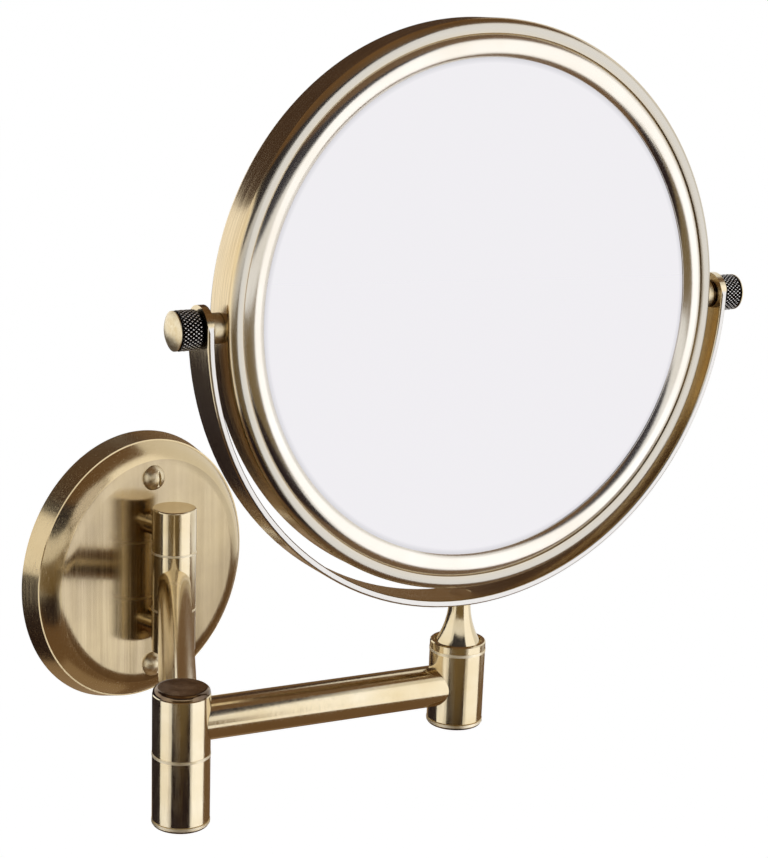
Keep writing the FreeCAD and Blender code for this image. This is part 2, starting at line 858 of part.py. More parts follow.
def make_glasses():
    plain = turned("plain_glass", [
        (ZERO, glass_back),
        (glass_radius, glass_back),
        (glass_radius, glass_front),
        (ZERO, glass_front),
    ])
    keep(place_in_head(plain))
    dish = size("magnifier_dish")
    bend = crown_radius(glass_radius, dish)
    thickness = size("magnifier_thickness")
    magnifier = turned("magnifying_glass", [
        (ZERO, glass_front - dish - thickness, bend, "left"),
        (glass_radius, glass_front - thickness),
        (glass_radius, glass_front, bend, "right"),
        (ZERO, glass_front - dish),
    ])
    keep(place_in_head(magnifier, turn_over=True))


def make_core():
    dish = size("magnifier_dish")
    gap = size("seat_clearance")
    bend = crown_radius(glass_radius, dish)
    rear = size("magnifier_thickness") - glass_front + gap
    body = turned("core_disc", [
        (ZERO, rear + dish, bend, "right"),
        (glass_radius, rear),
        (glass_radius, -glass_back),
        (bezel_outer, -glass_back),
        (bezel_outer, glass_back),
        (ZERO, glass_back),
    ])
    keep(place_in_head(body))


# Pieces on the pivot axis, drawn along their own Z from the head's centre outward
SIDES = (("right", QUARTER_TURN), ("left", -QUARTER_TURN))


def place_on_pivot(piece, pitch):
    return place(piece, end_x, end_y, pivot_level, size("head_angle"), pitch=pitch)


def make_pivots():
    stud = size("pivot_stud_diameter") / 2
    stud_bore = stud + size("running_clearance")
    boss = size("boss_diameter") / 2
    spigot = size("boss_spigot_diameter") / 2
    base = frame_radius + size("seat_clearance")
    soft = size("boss_round")
    knob_start = band_outer_radius + size("knob_gap")
    grip = size("knob_diameter") / 2
    chamfer = size("knob_chamfer")
    grip_end = knob_start + size("knob_grip_length")
    stud_end = grip_end - size("knob_stud_cover")
    bosses = []
    washers = []
    for side, pitch in SIDES:
        body = turned("pivot_boss", [
            (stud_bore, frame_bore + size("seat_clearance")),
            (spigot, frame_bore + size("seat_clearance")),
            (spigot, base),
            (boss, base),
            (boss, boss_end - soft, soft, "left"),
            (boss - soft, boss_end),
            (stud_bore, boss_end),
        ])
        bosses.append(place_on_pivot(body, pitch))
        ring = turned("pivot_washer", [
            (stud_bore, boss_end),
            (boss, boss_end),
            (boss, boss_end + size("pivot_washer_thickness")),
            (stud_bore, boss_end + size("pivot_washer_thickness")),
        ])
        washers.append(place_on_pivot(ring, pitch))
        screw = turned(side + "_knob_stud", [
            (ZERO, frame_bore + size("seat_clearance")),
            (stud, frame_bore + size("seat_clearance")),
            (stud, stud_end),
            (ZERO, stud_end),
        ])
        keep(place_on_pivot(screw, pitch))
        knurled = turned(side + "_knob_grip", [
            (stud + size("seat_clearance"), knob_start),
            (grip - chamfer, knob_start),
            (grip, knob_start + chamfer),
            (grip, grip_end - chamfer),
            (grip - chamfer, grip_end),
            (ZERO, grip_end),
            (ZERO, stud_end + size("seat_clearance")),
            (stud + size("seat_clearance"), stud_end + size("seat_clearance")),
        ])
        keep(place_on_pivot(knurled, pitch))
        rim = grip - size("knob_cap_inset")
        crown = size("knob_cap_height") - size("knob_cap_edge")
        cap = turned(side + "_knob_cap", [
            (ZERO, grip_end),
            (rim, grip_end),
            (rim, grip_end + size("knob_cap_edge"), crown_radius(rim, crown), "left"),
            (ZERO, grip_end + size("knob_cap_height")),
        ])
        keep(place_on_pivot(cap, pitch))
    keep_group("pivot_bosses", bosses)
    keep_group("pivot_washers", washers)


make_rosette()
make_wall_screws()
make_stub("upper_stub", stub_level)
make_stub("lower_stub", -stub_level)
make_stub_screws()
make_post_knuckle("upper_post_knuckle", 1)
make_post_knuckle("lower_post_knuckle", -1)
make_wall_pin()
make_wall_washers()
make_inner_arm()
make_elbow()
make_outer_arm()
make_swivel()
make_yoke_band()
make_band_screw()
make_frame_ring()
make_bezel("front_bezel", False)
make_bezel("rear_bezel", True)
make_glasses()
make_core()
make_pivots()
doc.recompute()

# Nothing is written unless every object is sound
for item in doc.Objects:
    if "Invalid" in item.State or "Error" in item.State:
        raise RuntimeError(item.Label + " failed: " + str(item.State))
for piece in nodes:
    if piece.Shape.isNull() or not piece.Shape.isValid() or not piece.Shape.Solids:
        raise RuntimeError(piece.Label + " has no sound solid")

os.makedirs("parts", exist_ok=True)
for piece in nodes:
    piece.Shape.exportStep("parts/%s.step" % piece.Label)
    print(piece.Label, len(piece.Shape.Solids), "solid(s), %.0f mm3" % piece.Shape.Volume)
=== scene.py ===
# %% [markdown]
# # A swing-arm makeup mirror in antique brass
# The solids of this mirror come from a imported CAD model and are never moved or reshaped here.
# This lesson sets up a camera and a studio like those of the photograph, gives the solids their finishes, models the
# two knurled grips with real diamond points, and spins the rosette and the head's rings again so that they are smooth.
# Everything is in metres: the wall is the plane y = 0, the room is towards -Y, and +Z is up.

import json
import math

import bmesh
import bpy
from mathutils import Matrix, Vector

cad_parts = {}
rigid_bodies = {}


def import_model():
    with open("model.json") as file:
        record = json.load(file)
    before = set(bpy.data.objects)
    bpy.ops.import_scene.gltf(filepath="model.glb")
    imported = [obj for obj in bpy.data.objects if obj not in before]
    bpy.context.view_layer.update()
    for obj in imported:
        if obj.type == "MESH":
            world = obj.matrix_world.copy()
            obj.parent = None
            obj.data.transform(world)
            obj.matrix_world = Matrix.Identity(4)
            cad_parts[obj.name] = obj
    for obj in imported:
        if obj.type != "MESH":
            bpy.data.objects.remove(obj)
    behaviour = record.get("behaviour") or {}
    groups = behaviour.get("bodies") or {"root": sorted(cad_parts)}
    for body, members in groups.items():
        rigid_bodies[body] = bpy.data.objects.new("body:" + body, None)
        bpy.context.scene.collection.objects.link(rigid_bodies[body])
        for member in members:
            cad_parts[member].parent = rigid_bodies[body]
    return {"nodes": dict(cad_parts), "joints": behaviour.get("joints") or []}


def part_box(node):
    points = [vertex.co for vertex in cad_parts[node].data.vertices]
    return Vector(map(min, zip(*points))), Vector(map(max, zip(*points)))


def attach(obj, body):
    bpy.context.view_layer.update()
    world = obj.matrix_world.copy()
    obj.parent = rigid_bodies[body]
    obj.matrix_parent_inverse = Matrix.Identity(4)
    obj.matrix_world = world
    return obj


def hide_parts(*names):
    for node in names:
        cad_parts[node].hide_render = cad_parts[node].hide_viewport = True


for leftover in list(bpy.data.objects):
    bpy.data.objects.remove(leftover)

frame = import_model()
nodes = frame["nodes"]
joints = {joint["name"]: joint for joint in frame["joints"]}
bpy.context.view_layer.update()

# %% [markdown]
# ## The axes of the object
# The head turns about the pivot axis between its two knobs, so every ring pattern on it is centred there.
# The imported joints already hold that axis, which is better than typing the numbers a second time.
# The pivot axis is level. The glass leans back a little, and its normal is read from the glass itself.

# %% Find the head's centre and directions
TOWARDS_ROOM = -0.5
head_centre = Vector(joints["mirror_tilt"]["pos_m"])
pivot_axis = Vector(joints["mirror_tilt"]["axis"]).normalized()
glass_faces = nodes["plain_glass"].data.polygons
largest_face = max(glass_faces, key=lambda face: face.area * (face.normal.y < TOWARDS_ROOM))
glass_normal = largest_face.normal.copy().normalized()
head_up = glass_normal.cross(pivot_axis).normalized()
print("head centre", list(head_centre), "glass faces", [round(part, 4) for part in glass_normal])

# %% [markdown]
# ## The camera
# The camera was worked out by lining up the sizes of the model with the picture: it stands to the left of the
# mirror, a little above it, and looks down by about 17 degrees.
# The picture is a crop, so the lens axis isn't in its middle, and the camera's shift gives that crop.

# %% Make the camera
CAMERA_PLACE = Vector((-0.5145, -0.6051, 0.2531))
CAMERA_YAW, CAMERA_PITCH, CAMERA_ROLL = (math.radians(angle) for angle in (47.321, 16.711, 2.053))
forward = Vector((math.sin(CAMERA_YAW) * math.cos(CAMERA_PITCH),
                  math.cos(CAMERA_YAW) * math.cos(CAMERA_PITCH),
                  -math.sin(CAMERA_PITCH)))
level_right = Vector((math.cos(CAMERA_YAW), -math.sin(CAMERA_YAW), 0))
level_up = level_right.cross(forward)
right = math.cos(CAMERA_ROLL) * level_right + math.sin(CAMERA_ROLL) * level_up
up = math.cos(CAMERA_ROLL) * level_up - math.sin(CAMERA_ROLL) * level_right

camera_data = bpy.data.cameras.new("photo_camera")
camera_data.sensor_width = 36
camera_data.lens = 83.78
camera_data.shift_x = 0.0229
camera_data.shift_y = 0.1231
camera_data.clip_start = 0.01
camera = bpy.data.objects.new("photo_camera", camera_data)
bpy.context.scene.collection.objects.link(camera)
camera.matrix_world = Matrix.Translation(CAMERA_PLACE) @ Matrix((right, up, -forward)).transposed().to_4x4()
bpy.context.scene.camera = camera
bpy.context.scene.view_settings.view_transform = "Standard"
print("camera at", list(camera.location), "lens", camera_data.lens)

# %% [markdown]
# ## The studio
# Polished metal has no look of its own: it shows the room. The room here is plain white, with a pale floor well
# below the mirror, because the mirror hangs on a wall. Dark cards stand round it, as a photographer places them
# to draw dark stripes between the bright ones on a polished tube.
# The cards are part of the stage. The camera doesn't see them, and neither do rays from a perfectly sharp
# reflection, so the looking-glass shows the white room.

# %% White room
world = bpy.data.worlds.new("white_room")
bpy.context.scene.world = world
world.use_nodes = True
room = world.node_tree
room.nodes.clear()
room_out = room.nodes.new("ShaderNodeOutputWorld")
room_light = room.nodes.new("ShaderNodeBackground")
room_light.inputs["Color"].default_value = (1, 1, 1, 1)
room_paths = room.nodes.new("ShaderNodeLightPath")


def either(tree, first, second):
    """One where either of two light-path switches is one."""
    node = tree.nodes.new("ShaderNodeMath")
    node.operation = "MAXIMUM"
    tree.links.new(first, node.inputs[0])
    tree.links.new(second, node.inputs[1])
    return node.outputs[0]


def seen_directly(tree, paths):
    """One for what the camera, a reflection or a transparent piece shows, nought for plain lighting."""
    seen = either(tree, paths.outputs["Is Camera Ray"], paths.outputs["Is Glossy Ray"])
    return either(tree, seen, paths.outputs["Is Transmission Ray"])


ROOM_LEVEL = 0.55
room_strength = room.nodes.new("ShaderNodeMapRange")
room_strength.inputs["To Min"].default_value = ROOM_LEVEL
room_strength.inputs["To Max"].default_value = 1.0
room.links.new(seen_directly(room, room_paths), room_strength.inputs["Value"])
room.links.new(room_strength.outputs[0], room_light.inputs["Strength"])
room.links.new(room_light.outputs[0], room_out.inputs["Surface"])
print("white room, level", ROOM_LEVEL, "for diffuse light")

# %% Pale floor
FLOOR_LEVEL, FLOOR_SIZE = -1.2, 24
FLOOR_PAINT, FLOOR_GLOW = (0.7, 0.7, 0.7), 0.615
bpy.ops.object.select_all(action="DESELECT")
bpy.ops.mesh.primitive_plane_add(size=FLOOR_SIZE, location=(0, 0, FLOOR_LEVEL))
floor = bpy.context.object
floor.name = "floor"
pale = bpy.data.materials.new("pale_floor")
pale.use_nodes = True
tree = pale.node_tree
tree.nodes.clear()
floor_out = tree.nodes.new("ShaderNodeOutputMaterial")
floor_sum = tree.nodes.new("ShaderNodeAddShader")
floor_paint = tree.nodes.new("ShaderNodeBsdfDiffuse")
floor_paint.inputs["Color"].default_value = (*FLOOR_PAINT, 1)
floor_glow = tree.nodes.new("ShaderNodeEmission")
floor_paths = tree.nodes.new("ShaderNodeLightPath")
floor_share = tree.nodes.new("ShaderNodeMath")
floor_share.operation = "MULTIPLY"
floor_share.inputs[1].default_value = FLOOR_GLOW
tree.links.new(seen_directly(tree, floor_paths), floor_share.inputs[0])
tree.links.new(floor_share.outputs[0], floor_glow.inputs["Strength"])
tree.links.new(floor_paint.outputs[0], floor_sum.inputs[0])
tree.links.new(floor_glow.outputs[0], floor_sum.inputs[1])
tree.links.new(floor_sum.outputs[0], floor_out.inputs["Surface"])
floor.data.materials.append(pale)
print("floor at", FLOOR_LEVEL)

# %% [markdown]
# ## Dark cards and soft boxes
# Seen from the mirror, a direction is given as degrees to the right of the camera and degrees above the horizon.
# The cards are placed from what the photograph's metal shows. The upright barrels have a bright strip on each side
# of a dark middle, so a white card stands on each side of the camera and a dark one in front of it. The tube between
# elbow and swivel is bright along its middle and dark above and below, so the room is white only in a band at the
# horizon, and dark overhead and below. The yoke's left face is nearly black, so a black card stands low on the left.
# White cards are brighter than the room, because a soft box is; the lamps themselves don't show in reflections.

# %% Directions round the mirror
STUDIO_CENTRE = Vector((-0.06, -0.16, 0.05))
CAMERA_BEARING = math.atan2(-forward.y, -forward.x)


def studio_direction(right_of_camera, above):
    bearing = CAMERA_BEARING + math.radians(right_of_camera)
    height = math.radians(above)
    return Vector((math.cos(bearing) * math.cos(height), math.sin(bearing) * math.cos(height), math.sin(height)))


print("the camera stands at", round(math.degrees(CAMERA_BEARING), 1), "degrees round the mirror")


# %% How a card is made
def place_card(name, middle, turn, width, height, finish):
    """A flat card of the stage, which only soft reflections show."""
    bpy.ops.object.select_all(action="DESELECT")
    bpy.ops.mesh.primitive_plane_add(size=1, location=middle)
    card = bpy.context.object
    card.name = name
    card.rotation_euler = turn
    card.scale = (width, height, 1)
    card.data.materials.append(finish)
    card.visible_camera = False
    card.visible_diffuse = False
    card.visible_shadow = False
    card.visible_transmission = False


def card_material(name, colour):
    """Seen in a soft reflection, clear to a sharp one."""
    material = bpy.data.materials.new(name)
    material.use_nodes = True
    tree = material.node_tree
    tree.nodes.clear()
    out = tree.nodes.new("ShaderNodeOutputMaterial")
    mix = tree.nodes.new("ShaderNodeMixShader")
    shown = tree.nodes.new("ShaderNodeEmission")
    clear = tree.nodes.new("ShaderNodeBsdfTransparent")
    paths = tree.nodes.new("ShaderNodeLightPath")
    shown.inputs["Color"].default_value = (*colour, 1)
    tree.links.new(paths.outputs["Is Singular Ray"], mix.inputs["Fac"])
    tree.links.new(shown.outputs[0], mix.inputs[1])
    tree.links.new(clear.outputs[0], mix.inputs[2])
    tree.links.new(mix.outputs[0], out.inputs["Surface"])
    return material


NEAR_BLACK = card_material("black_card", (0.02, 0.012, 0.014))
DARK_BROWN = card_material("brown_card", (0.19, 0.115, 0.06))
OLIVE_BROWN = card_material("olive_card", (0.21, 0.15, 0.07))
DEEP_BROWN = card_material("deep_card", (0.075, 0.045, 0.03))
COOL_BLACK = card_material("cool_card", (0.045, 0.042, 0.05))
MID_BROWN = card_material("mid_brown_card", (0.36, 0.26, 0.17))
SOFT_WHITE = card_material("soft_white_card", (1.26, 1.26, 1.26))
BRIGHT_WHITE = card_material("bright_white_card", (1.42, 1.44, 1.5))
print("card finishes from", NEAR_BLACK.name, "to", BRIGHT_WHITE.name)

# %% Cards round the mirror
# Name, degrees right of the camera, degrees above the horizon, distance, width, height, finish
CARDS = [
    ("camera_card", 6, -10.2, 0.9, 1.41, 0.41, OLIVE_BROWN),
    ("low_camera_card", 2, -42, 0.9, 1.12, 0.62, NEAR_BLACK),
    ("high_camera_card", 8, 48, 0.6, 0.81, 0.56, COOL_BLACK),
    ("high_side_card", -70, 58, 0.9, 1.6, 0.75, COOL_BLACK),
    ("low_side_card", -62, -50, 0.9, 1.0, 0.7, DARK_BROWN),
    ("left_back_card", -161, -7, 0.9, 1.1, 2.3, DARK_BROWN),
    ("right_back_card", 132, -45, 0.9, 1.0, 0.84, DARK_BROWN),
    ("top_card", 66, 86, 0.46, 0.72, 0.72, DARK_BROWN),
    ("right_white_card", 74, 0, 1.3, 1.41, 2.0, BRIGHT_WHITE),
    ("left_white_card", -72, 0, 1.4, 1.5, 2.0, SOFT_WHITE),
]
for name, bearing, above, distance, width, height, finish in CARDS:
    direction = studio_direction(bearing, above)
    facing = direction.to_track_quat("Z", "Y").to_euler()
    place_card(name, STUDIO_CENTRE + direction * distance, facing, width, height, finish)
print(len(CARDS), "cards round the mirror")

# %% Upright cards behind the wall plane
# Name, middle, width, height, slope to the left in degrees, finish
QUARTER_TURN = math.radians(90)
WALL_CARDS = [
    ("low_left_card", (-0.193, 0.15, -0.077), 0.7, 0.256, 17, NEAR_BLACK),
    ("under_left_card", (-0.106, 0.15, -0.362), 0.7, 0.34, 17, MID_BROWN),
    ("high_left_card", (-0.23, 0.15, 0.56), 0.5, 0.4, -38.5, DEEP_BROWN),
    ("high_back_card", (0.12, 0.15, 0.575), 0.56, 0.65, 0, DEEP_BROWN),
    ("rosette_card", (-0.235, 0.05, -0.12), 0.33, 0.22, 0, NEAR_BLACK),
    ("back_white_card", (-0.25, 0.4, 0.15), 1.2, 0.8, 0, SOFT_WHITE),
]
for name, middle, width, height, slope, finish in WALL_CARDS:
    place_card(name, middle, (QUARTER_TURN, math.radians(-slope), 0), width, height, finish)
print(len(WALL_CARDS), "cards behind the wall plane")

# %% Level cards below the mirror
# Name, middle, length, width, heading in degrees, finish
LEVEL_CARDS = [
    ("table_card", (0.151, -0.123, -0.35), 1.0, 1.05, -62, DARK_BROWN),
    ("under_rosette_card", (0, -0.01, -0.3), 0.24, 0.22, 0, MID_BROWN),
]
for name, middle, length, width, heading, finish in LEVEL_CARDS:
    place_card(name, middle, (0, 0, math.radians(heading)), length, width, finish)
print(len(LEVEL_CARDS), "level cards")

# %% Soft boxes
# Name, degrees right of the camera, degrees above the horizon, distance, width, height, brightness
SOFT_BOXES = [
    ("left_soft_box", -68, 0, 1.15, 0.55, 1.3, 0.25),
    ("right_soft_box", 62, 0, 1.2, 1.1, 1.3, 0.25),
]
for name, bearing, above, distance, width, height, brightness in SOFT_BOXES:
    direction = studio_direction(bearing, above)
    lamp = bpy.data.lights.new(name, "AREA")
    lamp.shape = "RECTANGLE"
    lamp.size = width
    lamp.size_y = height
    lamp.energy = brightness * math.pi * width * height
    box = bpy.data.objects.new(name, lamp)
    bpy.context.scene.collection.objects.link(box)
    box.visible_glossy = False
    box.location = STUDIO_CENTRE + direction * distance
    box.rotation_euler = direction.to_track_quat("Z", "Y").to_euler()
print(len(SOFT_BOXES), "soft boxes")

# %% [markdown]
# ## Finishes: shared steps
# All the brass is the same metal with a different last operation: polished, brushed, blackened or knurled, and the
# caps' deep brown is painted shade.
# A finish starts from a metal shader. Noise in Object coordinates then varies its colour, as tarnish does,
# and its roughness, as polishing marks do. Brushed lines are the same noise, stretched along the brushing.

# %% Finish helpers
FINISHES = {}
ACROSS_LINES = 0.25  # of a full turn, from along the lines to across them
# The two inputs and the output that a Mix node uses for each kind of value
MIX_SOCKETS = {"FLOAT": (2, 3, 0), "VECTOR": (4, 5, 1), "RGBA": (6, 7, 2)}


class Finish:
    def __init__(self, slot_name, colour, roughness, metallic=1.0):
        self.material = bpy.data.materials.new(slot_name + "_finish")
        self.material.use_nodes = True
        self.tree = self.material.node_tree
        self.shader = self.tree.nodes["Principled BSDF"]
        self.shader.inputs["Base Color"].default_value = (*colour, 1)
        self.shader.inputs["Roughness"].default_value = roughness
        self.shader.inputs["Metallic"].default_value = metallic
        self.place = self.tree.nodes.new("ShaderNodeTexCoord").outputs["Object"]
        FINISHES[slot_name] = self.material

    def node(self, kind, **settings):
        made = self.tree.nodes.new(kind)
        for name, value in settings.items():
            setattr(made, name, value)
        return made

    def link(self, output, target):
        self.tree.links.new(output, target)

    def stretched(self, grain):
        """Object coordinates divided by the size of the grain in each direction, in metres."""
        mapping = self.node("ShaderNodeMapping")
        mapping.inputs["Scale"].default_value = [1 / size for size in grain]
        self.link(self.place, mapping.inputs["Vector"])
        return mapping.outputs[0]

    def noise(self, vector, detail=3.0):
        texture = self.node("ShaderNodeTexNoise")
        texture.inputs["Scale"].default_value = 1.0
        texture.inputs["Detail"].default_value = detail
        self.link(vector, texture.inputs["Vector"])
        return texture.outputs["Fac"]

    def spread(self, value, low, high, start=0.3, stop=0.7):
        """Turn a noise value into one between low and high."""
        ramp = self.node("ShaderNodeMapRange")
        ramp.inputs["From Min"].default_value = start
        ramp.inputs["From Max"].default_value = stop
        ramp.inputs["To Min"].default_value = low
        ramp.inputs["To Max"].default_value = high
        self.link(value, ramp.inputs["Value"])
        return ramp.outputs[0]

    def blend(self, value, first, second, start=0.35, stop=0.65):
        """A colour between two, by a noise value."""
        ramp = self.node("ShaderNodeValToRGB")
        ramp.color_ramp.elements[0].position = start
        ramp.color_ramp.elements[0].color = (*first, 1)
        ramp.color_ramp.elements[1].position = stop
        ramp.color_ramp.elements[1].color = (*second, 1)
        self.link(value, ramp.inputs["Fac"])
        return ramp.outputs["Color"]

    def mix(self, kind, share, first, second, **settings):
        """Two numbers, vectors or colours mixed by a share. Each is an output or a plain value."""
        mixer = self.node("ShaderNodeMix", data_type=kind, **settings)
        first_socket, second_socket, result = MIX_SOCKETS[kind]
        for socket, source in ((0, share), (first_socket, first), (second_socket, second)):
            if isinstance(source, bpy.types.NodeSocket):
                self.link(source, mixer.inputs[socket])
            else:
                mixer.inputs[socket].default_value = source
        return mixer.outputs[result]

    def multiply(self, first, second, share):
        """Two colours multiplied, the second by a share."""
        return self.mix("RGBA", share, first, second, blend_type="MULTIPLY")

    def colour(self, output):
        self.link(output, self.shader.inputs["Base Color"])

    def roughness(self, output):
        self.link(output, self.shader.inputs["Roughness"])

    def relief(self, height, depth, strength=1.0):
        bump = self.node("ShaderNodeBump")
        bump.inputs["Strength"].default_value = strength
        bump.inputs["Distance"].default_value = depth
        self.link(height, bump.inputs["Height"])
        self.link(bump.outputs[0], self.shader.inputs["Normal"])

    def brushed_along(self, direction, amount):
        """Brush the surface along a direction, so that a reflection spreads across it."""
        lines = self.node("ShaderNodeVectorTransform", vector_type="VECTOR",
                          convert_from="OBJECT", convert_to="WORLD")
        self.link(direction, lines.inputs[0])
        self.link(lines.outputs[0], self.shader.inputs["Tangent"])
        self.shader.inputs["Anisotropic"].default_value = amount
        self.shader.inputs["Anisotropic Rotation"].default_value = ACROSS_LINES

    def from_point(self, point):
        """The way from a point to every place on the surface."""
        way = self.node("ShaderNodeVectorMath", operation="SUBTRACT")
        way.inputs[1].default_value = point
        self.link(self.place, way.inputs[0])
        return way.outputs[0]

    def round_axis(self, centre, axis):
        """The direction that runs round an axis, at every point."""
        turn = self.node("ShaderNodeVectorMath", operation="CROSS_PRODUCT")
        turn.inputs[0].default_value = axis
        self.link(self.from_point(centre), turn.inputs[1])
        return turn.outputs[0]

    def size_of(self, number):
        """A number without its sign."""
        plain = self.node("ShaderNodeMath", operation="ABSOLUTE")
        self.link(number, plain.inputs[0])
        return plain.outputs[0]

    def parts_of(self, vector):
        """The three coordinates of a vector."""
        parts = self.node("ShaderNodeSeparateXYZ")
        self.link(vector, parts.inputs[0])
        return parts.outputs["X"], parts.outputs["Y"], parts.outputs["Z"]

    def spoke(self, first, second):
        """The way out from an axis, from the two coordinates across it."""
        flat = self.node("ShaderNodeCombineXYZ")
        self.link(first, flat.inputs["X"])
        self.link(second, flat.inputs["Y"])
        return flat.outputs[0]

    def length(self, vector):
        measure = self.node("ShaderNodeVectorMath", operation="LENGTH")
        self.link(vector, measure.inputs[0])
        return measure.outputs["Value"]

    def head_coordinates(self):
        """Coordinates along the pivot axis, up the glass and out of it, from the head's centre."""
        turn = Matrix((pivot_axis, head_up, glass_normal))
        mapping = self.node("ShaderNodeMapping")
        mapping.inputs["Rotation"].default_value = turn.to_euler()
        mapping.inputs["Location"].default_value = -(turn @ head_centre)
        self.link(self.place, mapping.inputs["Vector"])
        return self.parts_of(mapping.outputs[0])

    def ring_lines(self, width, slowness):
        """Turning marks that run round the head: fine across the ring and slow along it, with no seam."""
        along_pivot, up_glass, depth = self.head_coordinates()
        spoke = self.spoke(along_pivot, up_glass)
        heading = self.node("ShaderNodeVectorMath", operation="NORMALIZE")
        self.link(spoke, heading.inputs[0])
        along = self.node("ShaderNodeVectorMath", operation="SCALE")
        along.inputs["Scale"].default_value = slowness
        self.link(heading.outputs["Vector"], along.inputs[0])
        section = self.node("ShaderNodeMath", operation="ADD")
        self.link(self.length(spoke), section.inputs[0])
        self.link(depth, section.inputs[1])
        fine = self.node("ShaderNodeMath", operation="DIVIDE")
        fine.inputs[1].default_value = width
        self.link(section.outputs[0], fine.inputs[0])
        texture = self.node("ShaderNodeTexNoise", noise_dimensions="4D")
        texture.inputs["Scale"].default_value = 1.0
        texture.inputs["Detail"].default_value = 2.0
        self.link(along.outputs[0], texture.inputs["Vector"])
        self.link(fine.outputs[0], texture.inputs["W"])
        return texture.outputs["Fac"]


PALE_BRASS = (0.78, 0.74, 0.67)
SOFT_BRASS = (0.7, 0.64, 0.54)
SILVERY_BRASS = (0.6, 0.575, 0.54)
WORN_BRASS = (0.5, 0.465, 0.4)
BRIGHT_BRASS = (0.72, 0.63, 0.46)
WARM_BRASS = (0.63, 0.51, 0.31)
GOLD_BRASS = (0.66, 0.49, 0.25)
SHOULDER_BRASS = (0.54, 0.42, 0.24)
OLIVE_BRASS = (0.4, 0.32, 0.21)
print("finish helpers ready")

# %% [markdown]
# ## Polished antique brass
# Barrels, tubes and the bell stem are polished and lacquered. Their stripes are reflections, so the finish itself
# stays quiet: cloudy tarnish a few centimetres across, and fine polishing marks that only change the roughness.
# The yoke's band is rubbed silvery on its two narrow edges, and the bezels are the palest brass on the mirror.

# %% Polished brass
polished = Finish("polished_brass", BRIGHT_BRASS, 0.12)
tarnish = polished.noise(polished.stretched((0.03, 0.03, 0.022)), detail=4.0)
marks = polished.noise(polished.stretched((0.0006, 0.0006, 0.006)), detail=2.0)
polished.colour(polished.blend(tarnish, WARM_BRASS, BRIGHT_BRASS))
polished.roughness(polished.spread(marks, low=0.1, high=0.19))
polished.relief(marks, depth=0.000004, strength=0.4)
print("polished finish, with tarnish from warm to bright brass")

# %% Yoke band
band = Finish("band_brass", BRIGHT_BRASS, 0.14)
band_lines = band.ring_lines(width=0.0005, slowness=3.0)
band_tarnish = band.noise(band.stretched((0.04, 0.04, 0.03)), detail=4.0)
yoke_forward = Vector((glass_normal.x, glass_normal.y, 0)).normalized()
YOKE_HALF = max((vertex.co - head_centre).dot(yoke_forward) for vertex in nodes["yoke_band"].data.vertices)
WEAR_START, WEAR_END = YOKE_HALF - 0.0003, YOKE_HALF - 0.0001
band_depth = band.node("ShaderNodeVectorMath", operation="DOT_PRODUCT")
band_depth.inputs[1].default_value = yoke_forward
band.link(band.from_point(head_centre), band_depth.inputs[0])
band_edge = band.spread(band.size_of(band_depth.outputs["Value"]), low=0.0, high=1.0, start=WEAR_START, stop=WEAR_END)
band_tone = band.blend(band_tarnish, WARM_BRASS, BRIGHT_BRASS)
band.colour(band.mix("RGBA", band_edge, band_tone, (*SILVERY_BRASS, 1)))
band.roughness(band.spread(band_lines, low=0.12, high=0.22))
print("the yoke's edges stand", round(YOKE_HALF, 5), "from its middle")

# %% Bezels
bezel = Finish("bezel_brass", PALE_BRASS, 0.16)
bezel_lines = bezel.ring_lines(width=0.0004, slowness=4.0)
bezel_tarnish = bezel.noise(bezel.stretched((0.05, 0.05, 0.05)), detail=4.0)
bezel.colour(bezel.blend(bezel_tarnish, SOFT_BRASS, PALE_BRASS))
bezel.roughness(bezel.spread(bezel_lines, low=0.16, high=0.24))
bezel.relief(bezel_lines, depth=0.000003, strength=0.4)
bezel.brushed_along(bezel.round_axis(head_centre, glass_normal), amount=0.6)
print("polished finishes:", sorted(FINISHES))

# %% [markdown]
# ## Brushed antique brass
# The rosette's face was drawn across an abrasive belt, so its lines run straight up and down.
# Its shoulder and the head's frame were brushed while they turned, so their lines run round.
# Brushing scatters the light across the lines, which a roughness that is longer one way and a very low relief give.
# The frame is gold along its wall, and handling has worn its front and rear edges to a greyer brass.

# %% Brushed rosette
FACE_EDGE = 0.047
brushed = Finish("brushed_brass", WARM_BRASS, 0.2)
belt_lines = brushed.noise(brushed.stretched((0.0005, 0.0005, 0.05)), detail=3.0)
belt_bands = brushed.noise(brushed.stretched((0.006, 0.006, 0.12)), detail=2.0)
rosette_tarnish = brushed.noise(brushed.stretched((0.05, 0.05, 0.05)), detail=4.0)
rosette_tone = brushed.blend(rosette_tarnish, OLIVE_BRASS, WARM_BRASS, start=0.3, stop=0.7)
rosette_streaks = brushed.blend(belt_bands, (0.82, 0.8, 0.76), (1, 1, 1), start=0.3, stop=0.7)
face_tone = brushed.multiply(rosette_tone, rosette_streaks, share=0.8)
shoulder_tone = brushed.blend(rosette_tarnish, SHOULDER_BRASS, WARM_BRASS)
rosette_x, _, rosette_z = brushed.parts_of(brushed.place)
edge_test = brushed.node("ShaderNodeMath", operation="GREATER_THAN")
edge_test.inputs[1].default_value = FACE_EDGE
brushed.link(brushed.length(brushed.spoke(rosette_x, rosette_z)), edge_test.inputs[0])
on_shoulder = edge_test.outputs[0]
face_roughness = brushed.spread(belt_lines, low=0.14, high=0.26)
shoulder_roughness = brushed.spread(belt_lines, low=0.16, high=0.28)
round_rosette = brushed.round_axis((0, 0, 0), (0, 1, 0))
brushed.colour(brushed.mix("RGBA", on_shoulder, face_tone, shoulder_tone))
brushed.roughness(brushed.mix("FLOAT", on_shoulder, face_roughness, shoulder_roughness))
brushed.relief(belt_lines, depth=0.000006, strength=0.5)
brushed.brushed_along(brushed.mix("VECTOR", on_shoulder, (0, 0, 1), round_rosette), amount=0.6)
print("the rosette's belt lines end", FACE_EDGE, "from its axis")

